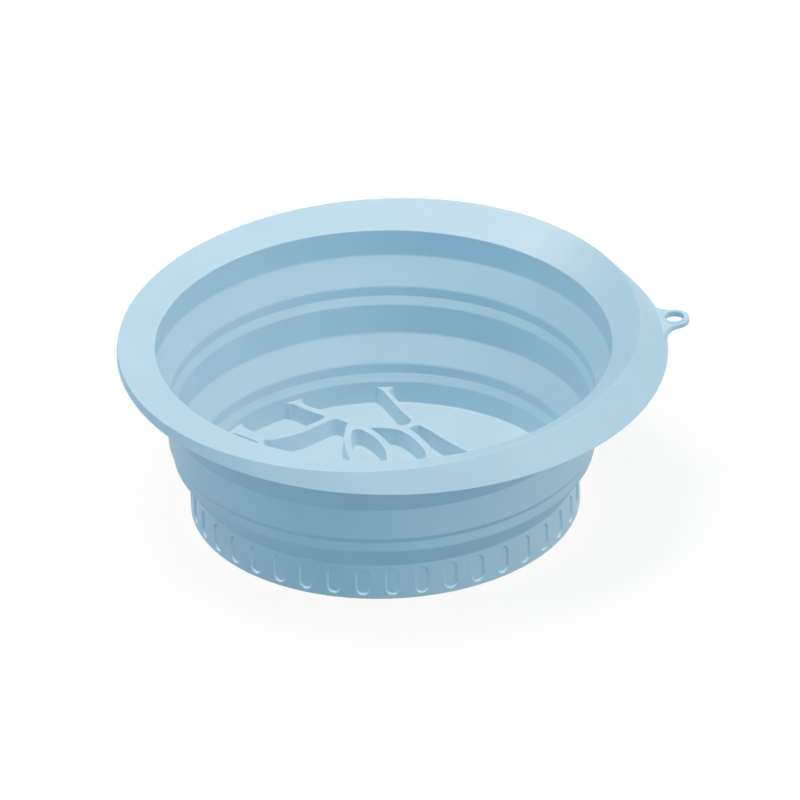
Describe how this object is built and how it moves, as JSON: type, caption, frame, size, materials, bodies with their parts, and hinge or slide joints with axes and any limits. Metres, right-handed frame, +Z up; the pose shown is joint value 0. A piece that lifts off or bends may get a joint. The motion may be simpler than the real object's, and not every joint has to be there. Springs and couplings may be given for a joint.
{
  "type": "collapsible washbasin",
  "caption": "Round collapsible washbasin with a funnel-shaped rim, hang tab, folding soft wall and ribbed floor; it presses down flat.",
  "frame": {"origin": "centre of the flat underside of the floor panel, on the basin's axis", "axes": "+Z up along the basin's axis, +X to the right towards the hang tab's side, +Y to the back"},
  "size_m": [0.333, 0.3198, 0.1167],
  "materials": {
    "rim_plastic": "satin moulded polypropylene, light blue",
    "band_plastic": "satin moulded polypropylene, light blue",
    "base_plastic": "satin moulded polypropylene, light blue",
    "soft_wall": "matte thermoplastic rubber, light blue"
  },
  "bodies": {
    "base": {"base_wall": "base_plastic", "floor_panel": "base_plastic", "base_hinge_ring": "soft_wall", "lower_fold": "soft_wall", "rib_centre": "base_plastic", "rib_right": "base_plastic", "rib_left": "base_plastic", "rib_arc_back": "base_plastic", "rib_arc_front": "base_plastic", "rib_leaf_back": "base_plastic", "rib_leaf_front": "base_plastic", "rib_bridge_back": "base_plastic", "rib_bridge_front": "base_plastic"},
    "middle": {"middle_band": "band_plastic", "lower_hinge_ring": "soft_wall", "upper_hinge_ring": "soft_wall", "upper_fold": "soft_wall"},
    "rim": {"rim_funnel": "rim_plastic", "rim_apron": "rim_plastic", "rim_collar": "soft_wall", "hang_tab": "rim_plastic"}
  },
  "joints": [
    {"name": "middle_drop", "type": "slide", "parent": "base", "child": "middle", "axis": [0, 0, -1], "range_m": [0, 0.0308], "deforming": ["lower_fold"]},
    {"name": "rim_drop", "type": "slide", "parent": "middle", "child": "rim", "axis": [0, 0, -1], "range_m": [0, 0.0316], "deforming": ["upper_fold"]}
  ]
}
